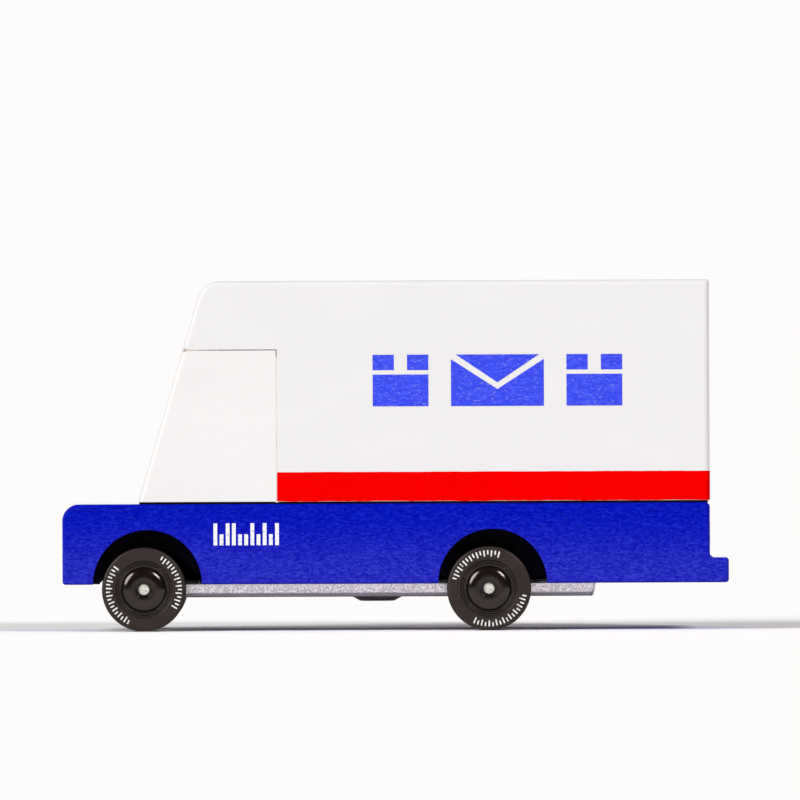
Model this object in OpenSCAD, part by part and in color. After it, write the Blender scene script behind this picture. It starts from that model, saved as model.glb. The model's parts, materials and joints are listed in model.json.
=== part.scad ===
// Pocket-size wooden toy mail delivery truck.
// The nose points along -X, the left side faces -Y, +Z is up, and the ground is Z = 0.

/* [Wooden blocks] */
// Length of the lower body, nose to the end of the rear step
body_l = 106; // [100:1:114]
// Width of the wooden blocks
body_w = 37; // [34:0.5:42]
// Height of the lower body
body_h = 12.8; // [12:0.1:16]
// Height of the cargo box above the lower body
cargo_h = 35.4; // [33:0.5:42]
// Length of the rear step behind the cargo box
step_l = 3; // [1.5:0.5:6]
// Height of the rear step
step_h = 4; // [3:0.5:6]
// Length of the bonnet in front of the cab
bonnet_l = 12; // [9:0.5:16]
// Length of the cab block where it stands on the lower body
cab_l = 22.2; // [19:0.2:26]
// Height of the cab block
cab_h = 24.5; // [20:0.5:28]
// Lean of the windscreen back from upright, in degrees
screen_lean = 16.4; // [8:0.2:22]
// Glue line left between the cab block and the cargo box
glue_gap = 0.12; // [0.05:0.01:0.3]

/* [Rounding of the blocks] */
// Radius of the bonnet's front edge
bonnet_r = 2.7; // [1:0.1:4]
// Radius where the windscreen turns into the roof
brow_r = 3.65; // [1:0.05:5]
// Width of the chamfer along the two sides of the roof
roof_chamfer = 0.6; // [0.3:0.1:1.5]
// Radius of the other block corners
edge_r = 0.6; // [0.2:0.1:1.2]
// Radius of the sanded edges at the joins
join_r = 0.3; // [0.1:0.1:0.6]
// Radius of the upright corners at the nose and the tail
corner_r = 0.9; // [0.4:0.1:2]

/* [Wheels] */
// Radius of the tyre
wheel_r = 6.7; // [6:0.05:8]
// Width of a wheel
wheel_w = 5.55; // [4.5:0.05:6.5]
// Thickness of the tyre between the hub and the tread
tyre_t = 2.25; // [1.8:0.05:2.6]
// Distance from the nose to the front axle
front_axle_l = 12.95; // [12:0.05:16]
// Distance between the axles
wheelbase = 54.9; // [50:0.1:60]
// How far the wheel's face stands inside the body's side
wheel_inset = 0.45; // [0.2:0.05:1]
// How far the axle lies below the underside of the lower body
axle_below = 0.8; // [0.6:0.05:1.1]

/* [Wheel arches] */
// How much larger the arch's radius is than the tyre's
arch_clear = 1.92; // [1.6:0.1:3]
// How far each arch sits behind its axle
arch_shift = 0.58; // [0:0.1:1]
// Gap between a wheel's inner face and the arch's inner wall
arch_gap = 1; // [0.6:0.1:1.5]

/* [Axles] */
// Radius of the steel axle
axle_r = 0.9; // [0.75:0.05:1]
// Clearance of an axle in its sleeve
axle_clear = 0.05; // [0.02:0.01:0.1]
// Wall of the axle sleeve
sleeve_wall = 0.4; // [0.3:0.05:0.6]
// Gap between the end of a sleeve and the hub
sleeve_gap = 0.35; // [0.2:0.05:0.6]
// How far the axle's end lies below the hub's dome
axle_end_drop = 0.45; // [0.2:0.05:0.8]

/* [Base plate] */
// How far the base plate's flange stands below the lower body
flange_t = 1.5; // [1.2:0.1:2]
// How far the plate's long edges stand inside the arches' inner walls
plate_side = 0.3; // [0.1:0.05:0.6]
// Clearance round the base plate in its recess
recess_clear = 0.35; // [0.15:0.05:0.5]
// Room in the recess ahead of the base plate
recess_ahead = 3; // [1:0.5:4]
// Distance from the front axle to the middle of the round boss
boss_behind = 37.1; // [28:0.1:44]
// Distance from the front axle to the plate's front end
plate_ahead = 5.5; // [4:0.5:6]
// Distance from the rear axle to the plate's rear end
plate_behind = 17.05; // [12:0.2:22]
// Corner radius of the base plate
plate_r = 1.6; // [0.8:0.1:3]
// Thickness of the raised panel under the plate
panel_t = 0.65; // [0.4:0.05:0.9]
// How far that panel is set in from the flange
panel_inset = 0.35; // [0.2:0.05:1]
// Wall of the housing below a sleeve
housing_wall = 0.75; // [0.5:0.05:1]
// Radius of the round boss under the plate
boss_r = 4.2; // [3:0.1:6]
// Height of that boss
boss_t = 0.8; // [0.4:0.05:1.2]
// How far the boss's side slopes in over its height
boss_slope = 1.5; // [0.4:0.1:2]

/* [Screws and dowels] */
// Distance from the front axle to the front screw
front_screw_behind = 8.4; // [6:0.2:12]
// Distance from the rear axle to the rear screw
rear_screw_behind = 8.9; // [6:0.2:12]
// Radius of a screw's thread
screw_r = 1.1; // [0.9:0.05:1.3]
// Radius of a screw's countersunk head
screw_head_r = 2.1; // [1.8:0.1:2.6]
// Length of a screw with its head
screw_l = 8; // [7:0.5:8]
// Radius of the dowels under the cargo box
cargo_dowel_r = 3; // [2:0.5:4]
// Length of the dowels under the cargo box
cargo_dowel_l = 15; // [12:1:24]
// Depth of those dowels in the lower body
cargo_dowel_sunk = 5; // [3:0.5:5]
// Distance of those dowels from the two ends of the cargo box where it stands
cargo_dowel_in = 12; // [8:0.5:16]
// Radius of the dowels under the cab block
cab_dowel_r = 2; // [1.5:0.5:2.5]
// Length of the dowels under the cab block
cab_dowel_l = 13; // [10:1:16]
// Depth of those dowels in the lower body
cab_dowel_sunk = 6; // [4:0.5:7]
// Distance of those dowels ahead of the cab block's back
cab_dowel_in = 9; // [5:0.5:12]
// Distance between those two dowels
cab_dowel_apart = 14; // [10:1:16]

/* [Painted and printed marks] */
// Thickness of a film of paint or ink
film_t = 0.04; // [0.03:0.01:0.1]
// Height of the painted stripe round the cargo box
stripe_h = 4.98; // [3:0.25:8]
// Height of the printed parcels and envelope
print_h = 8.2; // [5:0.1:12]
// Width of a printed parcel
parcel_w = 8.86; // [6:0.1:10]
// Width of the printed envelope
envelope_w = 14.76; // [10:0.1:18]
// Space between two prints
print_space = 3.6; // [2:0.1:5]
// How far the prints sit behind the middle of the cargo box's side
print_shift = 0.7; // [-1:0.1:2]
// Height of the prints' lower edge above the lower body
print_up = 15.4; // [10:0.1:20]
// Height of the fleet mark on the lower body
fleet_h = 3.5; // [2:0.1:5]
// Distance from the front arch to the fleet mark
fleet_behind = 1.9; // [1:0.1:4]
// Height of the fleet mark above the underside of the lower body
fleet_up = 6.2; // [4:0.1:8]
// Height of the lamps' middle on the nose above the underside of the lower body
lamp_up = 6; // [5:0.1:7]

/* [Hidden] */
$fn = 64;
// How far a cutting shape runs on past the surface that it cuts
PAST = 1;
EPS = 0.01;
// A corner's arc is this much larger than its radius, so that it crosses the straight sides
ARC_EASE = 0.002;

LEFT = -1;
RIGHT = 1;
FRONT = 0;
REAR = 1;
// Angle of each wheelset as it stands, from the middle of the first run of marks
TURNED = [15, 119];

BLUE = [0.06, 0.08, 0.70];
RED = [0.93, 0.02, 0.02];
CARGO_WHITE = [0.95, 0.94, 0.94];
CAB_CREAM = [0.96, 0.95, 0.92];
BEECH = [0.80, 0.62, 0.42];
SILVER = [0.72, 0.71, 0.73];
STEEL = [0.62, 0.62, 0.64];
NYLON = [0.90, 0.89, 0.84];
HUB_BLACK = [0.05, 0.05, 0.05];
TYRE_BLACK = [0.14, 0.12, 0.12];
INK_WHITE = [0.95, 0.95, 0.95];
INK_BLUE = [0.20, 0.26, 0.92];
INK_RED = [0.75, 0.04, 0.04];

// Stations along the truck
nose_x = -body_l / 2;
step_x = body_l / 2;
rear_x = step_x - step_l;
cab_x = nose_x + bonnet_l;
seam_x = cab_x + cab_l;
axle_xs = [nose_x + front_axle_l, nose_x + front_axle_l + wheelbase];
side_y = body_w / 2;

// The axle's sleeve, whose top lies level with the recess's ceiling
sleeve_bore_r = axle_r + axle_clear;
sleeve_r = sleeve_bore_r + sleeve_wall;

// Levels above the ground
axle_z = wheel_r;
under_z = axle_z + axle_below;
recess_z = axle_z + sleeve_r;
deck_z = under_z + body_h;
cab_top_z = deck_z + cab_h;
roof_z = deck_z + cargo_h;
flange_z = under_z - flange_t;
panel_z = flange_z - panel_t;

// Across the truck
wheel_in_y = side_y - wheel_inset - wheel_w;
core_y = wheel_in_y - arch_gap;
sleeve_y = wheel_in_y - sleeve_gap;
plate_y = core_y - plate_side;
recess_y = plate_y + recess_clear;

// The wheel arches
arch_r = wheel_r + arch_clear;
arch_xs = [for (x = axle_xs) x + arch_shift];

// The base plate's ends
plate_x0 = axle_xs[0] - plate_ahead;
plate_x1 = axle_xs[1] + plate_behind;

boss_x = axle_xs[0] + boss_behind;

// Screws stand on the centre line, one behind each axle
screw_xs = [axle_xs[0] + front_screw_behind, axle_xs[1] + rear_screw_behind];
screw_cone_l = screw_head_r - screw_r;
thread_t = 0.3;
screw_root_r = screw_r - thread_t;
thread_pitch = 0.9;
thread_crest = 0.1;
screw_tip_l = 2;
screw_tip_r = 0.15;
cross_l = 2.4;
cross_w = 0.5;
cross_d = 0.8;
pilot_spare = 0.6;

// Dowels
cargo_dowel_xs = [seam_x + cargo_dowel_in, rear_x - cargo_dowel_in];
cab_dowel_x = seam_x - glue_gap - cab_dowel_in;
dowel_spare = 0.5;
dowel_chamfer = 0.4;

// The hub's dome is part of a ball round the axle line, inside a groove and a rim
hub_r = wheel_r - tyre_t;
rim_t = 0.9;
rim_rise = 0.25;
rim_lip = 0.1;
groove_t = 0.05;
groove_d = 0.15;
dome_sunk = 0.25;
dome_drop = 0.9;
dome_top = wheel_w - dome_sunk;
dome_out_r = hub_r - rim_t;
dome_in_r = dome_out_r - 1.75;
rim_floor = dome_top - dome_drop;
dome_c = (dome_top + rim_floor - (pow(dome_out_r, 2) - pow(dome_in_r, 2)) / dome_drop) / 2;
dome_r = norm([dome_in_r, dome_top - dome_c]);
well_r = axle_r + 0.43;
well_d = 1.2;
hub_boss_r = axle_r + 1.1;
hub_wall = 0.75;
hub_hollow_d = 2.2;

// The axle's ends stop short of the hub's domes
axle_half = wheel_in_y + dome_top - axle_end_drop;
axle_chamfer = 0.15;

// The tyre, and the ticks printed in the middle of its wall
tyre_shoulder_r = 0.5;
tyre_bead = 0.25;
tick_in_r = (hub_r + wheel_r) / 2 - 0.5;
tick_l = 0.98;
tick_deg = 2.2;
tick_pitch = 6;
tick_runs = [[0, 16], [178, 18]];

function unit(v) = v / norm(v);
function cross2(a, b) = a[0] * b[1] - a[1] * b[0];
function at(points, i) = points[(i + len(points)) % len(points)];
function turn(points, i) = cross2(at(points, i) - at(points, i - 1), at(points, i + 1) - at(points, i));
function screen_x(z) = cab_x + (z - deck_z) * tan(screen_lean);

// The tip between a corner and the arc that rounds it. It runs on past the corner, so that no edges
// coincide.
module corner_tip(before, corner, after, r) {
    u = unit(before - corner);
    v = unit(after - corner);
    half = acos(u * v) / 2;
    reach = r / tan(half);
    inward = unit(u + v);
    centre = corner + inward * r / sin(half);
    difference() {
        polygon([corner - inward * reach, corner + v * reach, centre, corner + u * reach]);
        translate(centre) circle(r + ARC_EASE);
    }
}

// An outline whose corners have the radii listed, 0 for a sharp one. The points run anticlockwise.
module rounded_outline(points, radii) {
    last = len(points) - 1;
    difference() {
        union() {
            polygon(points);
            for (i = [0:last])
                if (radii[i] > 0 && turn(points, i) < 0)
                    corner_tip(at(points, i + 1), points[i], at(points, i - 1), radii[i]);
        }
        for (i = [0:last])
            if (radii[i] > 0 && turn(points, i) > 0)
                corner_tip(at(points, i - 1), points[i], at(points, i + 1), radii[i]);
    }
}

module rounded_rect(x0, x1, half_y, r) {
    rounded_outline([[x0, -half_y], [x1, -half_y], [x1, half_y], [x0, half_y]], [r, r, r, r]);
}

// The lower body's plan as a column that is taller than the body
module body_plan() {
    linear_extrude(deck_z + PAST) rounded_rect(nose_x, step_x, side_y, corner_r);
}

// Stands a side outline up and gives it a width centred on the middle of the truck
module across(w) {
    rotate([90, 0, 0]) linear_extrude(w, center = true) children();
}

// A rod along Y
module rod(x, z, r, half) {
    translate([x, half, z]) rotate([90, 0, 0]) cylinder(r = r, h = 2 * half);
}

// What is drawn for the left side is mirrored for the right
module on_side(side) {
    if (side == LEFT) children();
    else mirror([0, 1, 0]) children();
}

// Wheel pieces are drawn standing on their inner face, with the outer face up
module at_wheel(axle, side) {
    on_side(side)
        translate([axle_xs[axle], -wheel_in_y, axle_z])
            rotate([90, 0, 0]) children();
}

module lower_body() {
    color(BLUE)
    difference() {
        intersection() {
            across(body_w) rounded_outline(
                [[nose_x, under_z], [step_x, under_z], [step_x, under_z + step_h],
                 [rear_x, under_z + step_h], [rear_x, deck_z], [nose_x, deck_z]],
                [edge_r, join_r, join_r, edge_r, edge_r, bonnet_r]
            );
            body_plan();
        }
        for (x = arch_xs, side = [LEFT, RIGHT]) on_side(side) arch_pocket(x);
        plate_recess();
        for (x = screw_xs) pilot_hole(x);
        for (x = cargo_dowel_xs) dowel_hole(x, 0, cargo_dowel_r, cargo_dowel_sunk);
        for (s = [LEFT, RIGHT])
            dowel_hole(cab_dowel_x, s * cab_dowel_apart / 2, cab_dowel_r, cab_dowel_sunk);
    }
}

module arch_pocket(x) {
    translate([x, -core_y, under_z]) rotate([90, 0, 0]) cylinder(r = arch_r, h = side_y - core_y + PAST);
}

module plate_recess() {
    translate([0, 0, under_z - PAST]) linear_extrude(recess_z - under_z + PAST)
        rounded_rect(plate_x0 - recess_ahead, plate_x1 + recess_clear, recess_y, plate_r + recess_clear);
}

module pilot_hole(x) {
    translate([x, 0, under_z]) cylinder(r = screw_r, h = panel_z + screw_l + pilot_spare - under_z);
}

module dowel_hole(x, y, r, sunk) {
    translate([x, y, deck_z - sunk - dowel_spare]) cylinder(r = r, h = sunk + dowel_spare + PAST);
}

module dowel_socket(x, y, r, rise) {
    translate([x, y, deck_z - PAST]) cylinder(r = r, h = rise + dowel_spare + PAST);
}

module cargo_box() {
    color(CARGO_WHITE)
    difference() {
        intersection() {
            across(body_w) rounded_outline(
                [[seam_x, deck_z], [rear_x, deck_z], [rear_x, roof_z], [screen_x(roof_z), roof_z],
                 [screen_x(cab_top_z), cab_top_z], [seam_x, cab_top_z]],
                [join_r, join_r, edge_r, brow_r, join_r, 0]
            );
            roof_section();
        }
        for (x = cargo_dowel_xs) dowel_socket(x, 0, cargo_dowel_r, cargo_dowel_l - cargo_dowel_sunk);
    }
}

// The blocks' section across the truck, with the roof's chamfered sides
module roof_section() {
    inner_y = side_y - roof_chamfer;
    shoulder_z = roof_z - roof_chamfer;
    translate([nose_x, 0, 0]) rotate([90, 0, 90]) linear_extrude(body_l)
        polygon([[-side_y, under_z], [side_y, under_z], [side_y, shoulder_z], [inner_y, roof_z],
                 [-inner_y, roof_z], [-side_y, shoulder_z]]);
}

module cab_block() {
    top_z = cab_top_z - glue_gap;
    color(CAB_CREAM)
    difference() {
        across(body_w) rounded_outline(
            [[cab_x, deck_z], [seam_x - glue_gap, deck_z], [seam_x - glue_gap, top_z],
             [screen_x(top_z), top_z]],
            [join_r, join_r, join_r, join_r]
        );
        for (s = [LEFT, RIGHT])
            dowel_socket(cab_dowel_x, s * cab_dowel_apart / 2, cab_dowel_r, cab_dowel_l - cab_dowel_sunk);
    }
}

module dowel(x, y, r, l, sunk) {
    translate([x, y, deck_z - sunk]) {
        cylinder(r1 = r - dowel_chamfer, r2 = r, h = dowel_chamfer);
        translate([0, 0, dowel_chamfer]) cylinder(r = r, h = l - 2 * dowel_chamfer);
        translate([0, 0, l - dowel_chamfer]) cylinder(r1 = r, r2 = r - dowel_chamfer, h = dowel_chamfer);
    }
}

module cargo_dowels() {
    color(BEECH) for (x = cargo_dowel_xs) dowel(x, 0, cargo_dowel_r, cargo_dowel_l, cargo_dowel_sunk);
}

module cab_dowels() {
    color(BEECH) for (s = [LEFT, RIGHT])
        dowel(cab_dowel_x, s * cab_dowel_apart / 2, cab_dowel_r, cab_dowel_l, cab_dowel_sunk);
}

module base_plate() {
    color(SILVER)
    difference() {
        union() {
            translate([0, 0, flange_z]) linear_extrude(recess_z - flange_z)
                rounded_rect(plate_x0, plate_x1, plate_y, plate_r);
            translate([0, 0, panel_z]) linear_extrude(panel_t)
                rounded_rect(plate_x0 + panel_inset, plate_x1 - panel_inset, plate_y - panel_inset,
                             plate_r - panel_inset);
            translate([boss_x, 0, panel_z - boss_t])
                cylinder(r1 = boss_r - boss_slope, r2 = boss_r, h = boss_t);
            for (x = axle_xs) rod(x, axle_z, sleeve_r + housing_wall, plate_y - panel_inset);
        }
        for (x = axle_xs) sleeve_cradle(x);
        for (x = screw_xs) screw_seat(x);
        above_plate();
    }
}

// The cradle is open upwards, so that the sleeve drops in
module sleeve_cradle(x) {
    rod(x, axle_z, sleeve_r, plate_y + PAST);
    translate([x - sleeve_r, -plate_y - PAST, axle_z])
        cube([2 * sleeve_r, 2 * (plate_y + PAST), recess_z - axle_z + PAST]);
}

module above_plate() {
    translate([plate_x0 - PAST, -side_y, recess_z])
        cube([plate_x1 - plate_x0 + 2 * PAST, body_w, housing_wall + PAST]);
}

module screw_seat(x) {
    translate([x, 0, panel_z - PAST]) cylinder(r = screw_r, h = recess_z - panel_z + 2 * PAST);
    translate([x, 0, panel_z - EPS])
        cylinder(r1 = screw_head_r + EPS, r2 = screw_r, h = screw_cone_l + EPS);
}

module plate_screws() {
    color(STEEL) for (x = screw_xs) translate([x, 0, panel_z]) wood_screw();
}

// A countersunk screw that points up, with a cross recess in its head and ridges for its thread
module wood_screw() {
    head_l = screw_head_r - screw_root_r;
    shank_l = screw_l - screw_tip_l;
    turns = floor((shank_l - screw_cone_l) / thread_pitch);
    difference() {
        union() {
            cylinder(r1 = screw_head_r, r2 = screw_root_r, h = head_l);
            cylinder(r = screw_root_r, h = shank_l);
            translate([0, 0, shank_l]) cylinder(r1 = screw_root_r, r2 = screw_tip_r, h = screw_tip_l);
            for (i = [1:turns]) translate([0, 0, shank_l - i * thread_pitch]) thread_ridge();
        }
        for (a = [0, 90]) rotate(a)
            translate([-cross_l / 2, -cross_w / 2, -EPS]) cube([cross_l, cross_w, cross_d + EPS]);
    }
}

module thread_ridge() {
    inner_r = screw_root_r - thread_t;
    middle = thread_pitch / 2;
    top = thread_pitch - thread_crest;
    rotate_extrude() polygon(
        [[inner_r, thread_crest], [screw_root_r, thread_crest], [screw_r, middle - thread_crest / 2],
         [screw_r, middle + thread_crest / 2], [screw_root_r, top], [inner_r, top]]
    );
}

module axle_sleeve(axle) {
    color(NYLON) difference() {
        rod(axle_xs[axle], axle_z, sleeve_r, sleeve_y);
        rod(axle_xs[axle], axle_z, sleeve_bore_r, sleeve_y + PAST);
    }
}

module axle(axle) {
    end_r = axle_r - axle_chamfer;
    axle_l = 2 * axle_half;
    color(STEEL) translate([axle_xs[axle], axle_half, axle_z]) rotate([90, 0, 0])
        rotate_extrude() polygon(
            [[0, 0], [end_r, 0], [axle_r, axle_chamfer], [axle_r, axle_l - axle_chamfer],
             [end_r, axle_l], [0, axle_l]]
        );
}

// Domed outside round a well for the axle's end, hollow inside round a boss
module hub(axle, side) {
    bore_w = wheel_w + PAST;
    color(HUB_BLACK) at_wheel(axle, side) {
        difference() {
            union() {
                intersection() {
                    cylinder(r = dome_out_r, h = dome_top);
                    translate([0, 0, dome_c]) sphere(dome_r);
                }
                hub_rim();
            }
            translate([0, 0, -PAST]) cylinder(r = axle_r, h = bore_w + PAST);
            translate([0, 0, dome_top - well_d]) cylinder(r = well_r, h = well_d + PAST);
            translate([0, 0, -PAST]) rotate_extrude()
                translate([hub_boss_r, 0]) square([hub_r - hub_wall - hub_boss_r, hub_hollow_d + PAST]);
        }
    }
}

// The hub's drum, with a groove round the dome and a rim that slopes up to the tyre
module hub_rim() {
    core_r = axle_r / 2;
    groove_w = rim_floor - groove_d;
    rotate_extrude() polygon(
        [[core_r, 0], [hub_r, 0], [hub_r, wheel_w - rim_rise - groove_t],
         [hub_r - rim_lip, wheel_w - rim_rise + groove_t],
         [dome_out_r + rim_lip, rim_floor + rim_rise], [dome_out_r + groove_t, groove_w],
         [dome_out_r - groove_t, groove_w], [core_r, groove_w]]
    );
}

module tyre(axle, side) {
    wall_w = wheel_w - film_t;
    color(TYRE_BLACK) at_wheel(axle, side) rotate_extrude() rounded_outline(
        [[hub_r, tyre_bead], [hub_r + tyre_bead, 0], [wheel_r, 0], [wheel_r, wall_w],
         [hub_r + tyre_bead, wall_w], [hub_r, wall_w - tyre_bead]],
        [0, 0, tyre_shoulder_r, tyre_shoulder_r, 0, 0]
    );
}

// Two facing runs of ticks printed round the tyre's wall, long and short by turns
module tyre_marks(axle, side) {
    color(INK_WHITE) at_wheel(axle, side) translate([0, 0, wheel_w - film_t]) linear_extrude(film_t)
        for (run = tick_runs) tick_run(TURNED[axle] + run[0], run[1]);
}

module tick_run(middle, count) {
    for (i = [0:count - 1]) rotate(middle + (i - (count - 1) / 2) * tick_pitch)
        tick(tick_in_r + (i % 2) * tick_l / 3);
}

// One tick, bounded by two circles round the wheel and two spokes
module tick(in_r) {
    half_w = wheel_r * tan(tick_deg / 2);
    intersection() {
        difference() {
            circle(tick_in_r + tick_l);
            circle(in_r);
        }
        polygon([[0, 0], [wheel_r, -half_w], [wheel_r, half_w]]);
    }
}

// A band of red paint along both sides and round the back of the cargo box
module cargo_stripe() {
    low_z = deck_z + join_r;
    color(RED) translate([0, 0, low_z]) linear_extrude(stripe_h - join_r)
        difference() {
            translate([seam_x, -side_y - film_t])
                square([rear_x + film_t - seam_x, body_w + 2 * film_t]);
            translate([seam_x - PAST, -side_y]) square([rear_x - seam_x + PAST, body_w]);
        }
}

// Lays a flat print on the left side, with its own X towards the tail and its Y up
module on_side_face(side, x, z) {
    on_side(side) translate([x, -side_y, z]) rotate([90, 0, 0]) linear_extrude(film_t) children();
}

// Three generic signs in a row: a parcel, an envelope and a parcel
module cargo_print(side) {
    reach = envelope_w / 2 + print_space + parcel_w / 2;
    middle_x = (seam_x + rear_x) / 2 + print_shift;
    color(INK_BLUE) on_side_face(side, middle_x, deck_z + print_up) {
        translate([-reach, 0]) parcel_sign();
        envelope_sign();
        translate([reach, 0]) parcel_sign();
    }
}

// A square parcel with a gap for the tape across it and down its lid
module parcel_sign() {
    gap = 0.7;
    lid_h = 2.45;
    half_w = (parcel_w - 3 * gap) / 2;
    translate([-parcel_w / 2, 0]) square([parcel_w, print_h - lid_h - gap]);
    for (x = [-parcel_w / 2, parcel_w / 2 - half_w])
        translate([x, print_h - lid_h]) square([half_w, lid_h]);
}

// An envelope whose flap stands clear of its front
module envelope_sign() {
    gap = 0.75;
    fold_h = 3.45;
    flap_gap = 0.3;
    half_w = envelope_w / 2;
    side_h = print_h - gap;
    polygon([[-half_w, 0], [half_w, 0], [half_w, side_h], [0, fold_h - gap], [-half_w, side_h]]);
    polygon([[gap - half_w, print_h], [0, fold_h + flap_gap], [half_w - gap, print_h]]);
}

// A fleet mark of tall and short upright bars
module fleet_mark(side) {
    tall = [1, 0, 1, 1, 0, 0, 1, 0, 1, 0, 1];
    bar_w = 0.6;
    bar_pitch = 0.98;
    low_h = fleet_h / 2;
    color(INK_WHITE) on_side_face(side, arch_xs[FRONT] + arch_r + fleet_behind, under_z + fleet_up)
        for (i = [0:len(tall) - 1]) translate([i * bar_pitch, 0])
            square([bar_w, low_h + tall[i] * (fleet_h - low_h)]);
}

// Two round lamps and four grille bars on the nose
module headlight_print() {
    lamp_r = 1.7;
    lamp_y = side_y - 5.2;
    grille_y = lamp_y - lamp_r - 4;
    bar_h = 0.5;
    bar_pitch = 1.1;
    color(INK_WHITE) translate([nose_x - film_t, 0, under_z + lamp_up]) rotate([90, 0, 90])
        linear_extrude(film_t) {
            for (s = [LEFT, RIGHT]) translate([s * lamp_y, 0]) circle(lamp_r);
            for (i = [-1.5:1:1.5])
                translate([-grille_y, i * bar_pitch - bar_h / 2]) square([2 * grille_y, bar_h]);
        }
}

// Two upright lamps on the back of the lower body
module tail_light_print() {
    lamp = [2.2, 3.6];
    lamp_y = side_y - 3.2;
    lamp_rise = 2;
    color(INK_RED) translate([rear_x, 0, under_z + step_h + lamp_rise]) rotate([90, 0, 90])
        linear_extrude(film_t)
            for (s = [LEFT, RIGHT]) translate([s * lamp_y - lamp[0] / 2, 0]) square(lamp);
}

lower_body();
cargo_box();
cab_block();
cargo_dowels();
cab_dowels();
base_plate();
plate_screws();
axle_sleeve(FRONT);  // front_axle_sleeve
axle_sleeve(REAR);  // rear_axle_sleeve
axle(FRONT);  // front_axle
hub(FRONT, LEFT);  // front_left_hub
tyre(FRONT, LEFT);  // front_left_tyre
tyre_marks(FRONT, LEFT);  // front_left_tyre_marks
hub(FRONT, RIGHT);  // front_right_hub
tyre(FRONT, RIGHT);  // front_right_tyre
tyre_marks(FRONT, RIGHT);  // front_right_tyre_marks
axle(REAR);  // rear_axle
hub(REAR, LEFT);  // rear_left_hub
tyre(REAR, LEFT);  // rear_left_tyre
tyre_marks(REAR, LEFT);  // rear_left_tyre_marks
hub(REAR, RIGHT);  // rear_right_hub
tyre(REAR, RIGHT);  // rear_right_tyre
tyre_marks(REAR, RIGHT);  // rear_right_tyre_marks
cargo_stripe();
cargo_print(LEFT);  // left_cargo_print
cargo_print(RIGHT);  // right_cargo_print
fleet_mark(LEFT);  // left_fleet_mark
fleet_mark(RIGHT);  // right_fleet_mark
headlight_print();
tail_light_print();
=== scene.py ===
# %% [markdown]
# # A pocket-size wooden toy mail truck
#
# The truck is three painted blocks of wood on a moulded plate, with pressed-on wheels that turn on two steel
# pins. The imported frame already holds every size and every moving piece. This lesson dresses that frame: each
# block, wheel and mark is built where the frame says it is, and each one gets a finish made of shader nodes.
#
# Everything is in metres. The nose points along -X, the left side faces -Y and the ground is Z = 0.

# %% Load the frame
import json
import math

import bmesh
import bpy
from mathutils import Matrix, Vector

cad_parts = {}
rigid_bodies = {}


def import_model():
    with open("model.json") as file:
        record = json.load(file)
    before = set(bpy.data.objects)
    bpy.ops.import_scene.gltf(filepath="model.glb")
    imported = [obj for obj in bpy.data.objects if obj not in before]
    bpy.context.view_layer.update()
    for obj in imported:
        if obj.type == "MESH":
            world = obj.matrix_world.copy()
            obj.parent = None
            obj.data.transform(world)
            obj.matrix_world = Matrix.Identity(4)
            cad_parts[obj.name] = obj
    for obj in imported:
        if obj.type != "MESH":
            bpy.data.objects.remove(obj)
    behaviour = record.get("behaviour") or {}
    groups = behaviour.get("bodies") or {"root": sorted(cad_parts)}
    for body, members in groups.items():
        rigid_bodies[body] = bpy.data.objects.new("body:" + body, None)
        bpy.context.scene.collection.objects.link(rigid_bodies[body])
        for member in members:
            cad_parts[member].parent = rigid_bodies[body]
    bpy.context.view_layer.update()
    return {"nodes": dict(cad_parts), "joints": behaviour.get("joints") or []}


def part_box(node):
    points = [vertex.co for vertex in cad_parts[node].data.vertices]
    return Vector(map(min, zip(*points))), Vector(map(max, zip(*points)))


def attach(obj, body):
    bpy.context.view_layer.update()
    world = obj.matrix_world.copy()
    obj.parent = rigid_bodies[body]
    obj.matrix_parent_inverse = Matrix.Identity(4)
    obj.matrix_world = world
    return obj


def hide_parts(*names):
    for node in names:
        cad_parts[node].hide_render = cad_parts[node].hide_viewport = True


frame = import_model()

nodes = frame["nodes"]

# %% [markdown]
# ## Reading the sizes
#
# A wooden toy is a stack of simple blocks, so a handful of planes describe it. They are read from the frame
# instead of being typed in, so that a new frame moves the whole scene with it. Only small things that a box
# can't tell, such as the radius of an edge, are stated here by name.

# %% Planes and stations from the frame
MM = 0.001
LEFT, RIGHT = -1, 1

body_low, body_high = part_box("lower_body")
_, cargo_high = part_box("cargo_box")
_, cab_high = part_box("cab_block")
plate_low, plate_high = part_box("base_plate")

GLUE_GAP = 0.12 * MM
BONNET_L = 12 * MM
STEP_H = 4 * MM
SCREEN_LEAN = math.radians(16.4)

nose_x, step_x = body_low.x, body_high.x
side_y = body_high.y
under_z, deck_z = body_low.z, body_high.z
rear_x, roof_z = cargo_high.x, cargo_high.z
cab_x = nose_x + BONNET_L
seam_x = cab_high.x + GLUE_GAP
cab_top_z = cab_high.z + GLUE_GAP
step_z = under_z + STEP_H
recess_z = plate_high.z
axle_places = [Vector(joint["pos_m"]) for joint in frame["joints"]]
print("axles at X", [round(place.x / MM, 2) for place in axle_places], "mm")


def screen_x(z):
    """Where the leaning windscreen is at height z."""
    return cab_x + (z - deck_z) * math.tan(SCREEN_LEAN)


# %% [markdown]
# ## A few mesh tools
#
# Each block starts as an outline with round corners, pulled out into a prism, and the Bevel modifier then
# sands its edges. The sanding isn't the same everywhere, so each edge is given its own weight: a share of the
# largest radius on that block.

# %% Outlines with round corners
ARC_STEP = math.radians(5)


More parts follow.
